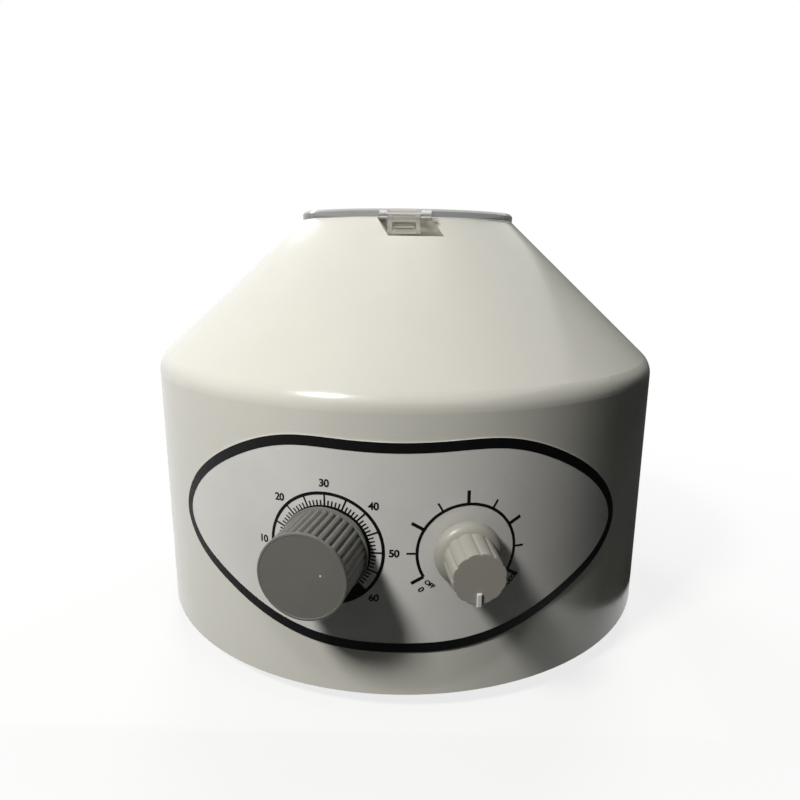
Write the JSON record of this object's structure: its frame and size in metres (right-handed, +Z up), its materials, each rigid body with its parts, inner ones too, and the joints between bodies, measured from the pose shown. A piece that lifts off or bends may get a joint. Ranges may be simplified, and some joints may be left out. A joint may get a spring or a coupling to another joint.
{
  "type": "bench centrifuge",
  "caption": "Small electric bench centrifuge with a cone-topped round housing, clear hinged lid, latch, angle rotor, clock timer knob and speed knob.",
  "frame": {"origin": "on the bench surface, under the middle of the bounding box; the rotor's axis is at y = +0.0114 m", "axes": "+Z up along the rotor's axis; the dials face -Y and the mains inlet faces +Y"},
  "size_m": [0.26, 0.2854, 0.206],
  "materials": {
    "ivory_shell": "glossy moulded plastic",
    "overlay_print": "satin printed sheet",
    "clear_plastic": "clear moulded plastic, slightly grey",
    "grey_knob": "satin grey plastic",
    "pale_knob": "satin pale plastic",
    "pointer_white": "white plastic",
    "black_plastic": "moulded black plastic",
    "rubber_black": "matt rubber",
    "zinc_steel": "zinc plated steel",
    "bright_aluminium": "spun and turned aluminium",
    "painted_steel": "grey enamel",
    "lamination_steel": "stacked steel sheet",
    "copper_winding": "enamelled copper wire",
    "brass_turned": "turned brass",
    "carbon": "pressed carbon",
    "board_green": "circuit board",
    "fuse_glass": "glass tube"
  },
  "bodies": {
    "root": {"housing_shell": "ivory_shell", "control_overlay": "overlay_print", "base_plate": "painted_steel", "case_screws": "zinc_steel", "rubber_feet": "rubber_black", "foot_screws": "zinc_steel", "foot_nuts": "zinc_steel", "chamber_bowl": "bright_aluminium", "shaft_seal": "rubber_black", "motor_dampers": "rubber_black", "motor_plate": "zinc_steel", "damper_studs": "zinc_steel", "damper_nuts": "zinc_steel", "motor_can": "painted_steel", "motor_end_bracket": "bright_aluminium", "upper_bearing": "brass_turned", "lower_bearing": "brass_turned", "stator_core": "lamination_steel", "field_coils": "copper_winding", "brush_holders": "brass_turned", "carbon_brushes": "carbon", "timer_case": "painted_steel", "timer_screws": "zinc_steel", "speed_potentiometer": "black_plastic", "potentiometer_nut": "brass_turned", "hinge_pin": "zinc_steel", "inlet_housing": "black_plastic", "inlet_contacts": "brass_turned", "inlet_screws": "zinc_steel", "control_board": "board_green", "board_standoffs": "black_plastic", "board_screws": "zinc_steel", "heat_sink": "bright_aluminium", "filter_capacitor": "black_plastic", "terminal_block": "board_green"},
    "lid": {"lid_cover": "clear_plastic", "latch_pin": "zinc_steel"},
    "latch": {"latch_clip": "clear_plastic"},
    "rotor": {"motor_shaft": "zinc_steel", "armature_core": "lamination_steel", "armature_winding": "copper_winding", "commutator": "copper_winding", "cooling_fan": "black_plastic", "rotor_head": "bright_aluminium", "tube_collars": "bright_aluminium", "rotor_washer": "zinc_steel", "rotor_nut": "zinc_steel", "tube_sleeve_1": "zinc_steel", "tube_sleeve_2": "zinc_steel", "tube_sleeve_3": "zinc_steel", "tube_sleeve_4": "zinc_steel", "tube_sleeve_5": "zinc_steel", "tube_sleeve_6": "zinc_steel"},
    "timer_dial": {"timer_knob": "grey_knob", "timer_shaft": "zinc_steel"},
    "speed_dial": {"speed_knob": "pale_knob", "speed_pointer": "pointer_white", "speed_shaft": "zinc_steel"},
    "fuse_tray": {"fuse_drawer": "black_plastic", "fuse": "fuse_glass"}
  },
  "joints": [
    {"name": "lid_hinge", "type": "hinge", "parent": "root", "child": "lid", "pos_m": [0, 0.07162, 0.2016], "axis": [-1, 0, 0], "range_deg": [0, 105]},
    {"name": "latch_pivot", "type": "hinge", "parent": "lid", "child": "latch", "pos_m": [0, -0.04678, 0.2016], "axis": [-1, 0, 0], "range_deg": [0, 65]},
    {"name": "rotor_spin", "type": "hinge", "parent": "root", "child": "rotor", "pos_m": [0, 0.01142, 0.108], "axis": [0, 0, 1], "continuous": true},
    {"name": "timer_turn", "type": "hinge", "parent": "root", "child": "timer_dial", "pos_m": [-0.02788, -0.11538, 0.0719], "axis": [0.2147, 0.9767, 0], "range_deg": [0, 270]},
    {"name": "speed_turn", "type": "hinge", "parent": "root", "child": "speed_dial", "pos_m": [0.0281, -0.11533, 0.0719], "axis": [-0.1444, 0.9895, 0], "range_deg": [0, 300]},
    {"name": "fuse_drawer_slide", "type": "slide", "parent": "root", "child": "fuse_tray", "axis": [0, 1, 0], "range_m": [0, 0.014]}
  ]
}
